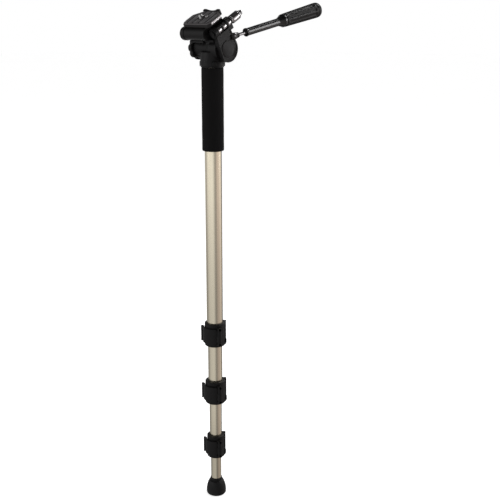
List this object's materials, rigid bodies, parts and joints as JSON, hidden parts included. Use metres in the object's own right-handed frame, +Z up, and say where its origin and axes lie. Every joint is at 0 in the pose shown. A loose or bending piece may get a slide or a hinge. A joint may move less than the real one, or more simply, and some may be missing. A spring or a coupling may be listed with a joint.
{
  "type": "camera monopod",
  "caption": "Telescopic camera monopod with lever-locked tube sections, rubber foot, foam grip and a tilting, flip-over pan head with a quick-release plate and handle.",
  "frame": {"origin": "middle of the foam hand grip, on the tube's axis", "axes": "+Z up along the tube towards the head, +Y along the pan handle seen from above, +X from the lobed tilt knob to the side cheek, as posed in the picture"},
  "size_m": [0.0759, 0.2303, 0.7702],
  "materials": {
    "champagne": "satin anodised",
    "black_plastic": "fine moulded grain",
    "head_paint": "black satin paint",
    "gloss_black": "polished black",
    "foam": "closed-cell foam",
    "foot_rubber": "smooth black rubber",
    "pad_rubber": "ribbed rubber",
    "steel": "turned steel",
    "chrome": "polished",
    "nylon": "natural nylon"
  },
  "bodies": {
    "upper_leg": {"foam_grip": "foam", "main_tube": "champagne", "tube_plug": "black_plastic", "head_stud": "steel", "pan_base": "head_paint", "lock_1_collar": "black_plastic", "lock_1_shoe": "nylon", "lock_1_pin": "steel"},
    "leg_2": {"leg_2_tube": "champagne", "leg_2_bush": "nylon", "lock_2_collar": "black_plastic", "lock_2_shoe": "nylon", "lock_2_pin": "steel"},
    "leg_3": {"leg_3_tube": "champagne", "leg_3_bush": "nylon", "lock_3_collar": "black_plastic", "lock_3_shoe": "nylon", "lock_3_pin": "steel"},
    "leg_4": {"leg_4_tube": "champagne", "leg_4_bush": "nylon", "foot_plug": "black_plastic", "rubber_foot": "foot_rubber"},
    "lever_1": {"lock_1_lever": "black_plastic"},
    "lever_2": {"lock_2_lever": "black_plastic"},
    "lever_3": {"lock_3_lever": "black_plastic"},
    "pan_head": {"pan_body": "head_paint", "pan_washer": "black_plastic"},
    "pan_lock": {"pan_lock_screw": "black_plastic"},
    "bracket": {"tilt_bracket": "head_paint", "cheek_cover": "black_plastic", "tilt_axle": "steel", "tilt_washer": "black_plastic"},
    "tilt_lock": {"tilt_knob": "black_plastic"},
    "pan_handle": {"handle_rod": "chrome", "handle_sleeve": "gloss_black", "handle_grip": "black_plastic", "handle_cap": "black_plastic"},
    "flip_platform": {"platform": "head_paint"},
    "flip_lock": {"flip_bolt": "steel", "flip_knob": "gloss_black"},
    "release": {"release_knob": "black_plastic"},
    "quick_plate": {"plate_base": "black_plastic", "plate_pad": "pad_rubber"},
    "mount_screw": {"camera_screw": "chrome"},
    "index": {"index_pin": "chrome"}
  },
  "joints": [
    {"name": "leg_2_slide", "type": "slide", "parent": "upper_leg", "child": "leg_2", "axis": [0, 0, 1], "range_m": [-0.2903, 0.0594]},
    {"name": "leg_3_slide", "type": "slide", "parent": "leg_2", "child": "leg_3", "axis": [0, 0, 1], "range_m": [-0.2923, 0.0574]},
    {"name": "leg_4_slide", "type": "slide", "parent": "leg_3", "child": "leg_4", "axis": [0, 0, 1], "range_m": [-0.3103, 0.0394]},
    {"name": "lever_1_hinge", "type": "hinge", "parent": "upper_leg", "child": "lever_1", "pos_m": [0.0175, -0.00686, -0.3439], "axis": [0, 0, 1], "range_deg": [0, 140]},
    {"name": "lever_2_hinge", "type": "hinge", "parent": "leg_2", "child": "lever_2", "pos_m": [0.0175, -0.00686, -0.4404], "axis": [0, 0, 1], "range_deg": [0, 140]},
    {"name": "lever_3_hinge", "type": "hinge", "parent": "leg_3", "child": "lever_3", "pos_m": [0.01583, -0.0062, -0.5349], "axis": [0, 0, 1], "range_deg": [0, 140]},
    {"name": "pan", "type": "hinge", "parent": "upper_leg", "child": "pan_head", "pos_m": [0, 0, 0.0595], "axis": [0, 0, 1], "continuous": true},
    {"name": "pan_lock_turn", "type": "hinge", "parent": "pan_head", "child": "pan_lock", "pos_m": [0, 0, 0.0649], "axis": [0.8339, -0.5519, 0], "range_deg": [0, 360]},
    {"name": "tilt", "type": "hinge", "parent": "pan_head", "child": "bracket", "pos_m": [0, 0.0035, 0.0855], "axis": [1, 0, 0], "range_deg": [-65, 30]},
    {"name": "tilt_knob_turn", "type": "hinge", "parent": "bracket", "child": "tilt_lock", "pos_m": [-0.034, 0.0035, 0.0855], "axis": [1, 0, 0], "range_deg": [0, 360]},
    {"name": "handle_twist", "type": "hinge", "parent": "bracket", "child": "pan_handle", "pos_m": [0.0257, 0.01705, 0.10234], "axis": [0, 0.9803, 0.1977], "range_deg": [0, 360]},
    {"name": "flip", "type": "hinge", "parent": "bracket", "child": "flip_platform", "pos_m": [0.0257, -0.0111, 0.11194], "axis": [0, 0.8755, 0.4833], "range_deg": [0, 90]},
    {"name": "flip_knob_turn", "type": "hinge", "parent": "bracket", "child": "flip_lock", "pos_m": [0.0257, 0.01517, 0.12644], "axis": [0, 0.8755, 0.4833], "range_deg": [0, 360]},
    {"name": "release_turn", "type": "hinge", "parent": "flip_platform", "child": "release", "pos_m": [-0.028, -0.02329, 0.10589], "axis": [1, 0, 0], "range_deg": [0, 90]},
    {"name": "plate_slide", "type": "slide", "parent": "flip_platform", "child": "quick_plate", "axis": [0, 0.8755, 0.4833], "range_m": [0, 0.045]},
    {"name": "camera_screw_turn", "type": "hinge", "parent": "quick_plate", "child": "mount_screw", "pos_m": [-0.003, -0.01741, 0.12753], "axis": [0, -0.4833, 0.8755], "continuous": true},
    {"name": "index_pin_press", "type": "slide", "parent": "quick_plate", "child": "index", "axis": [0, 0.4833, -0.8755], "range_m": [0, 0.0026], "stiffness_N_per_m": 400, "springref_m": -0.003}
  ]
}
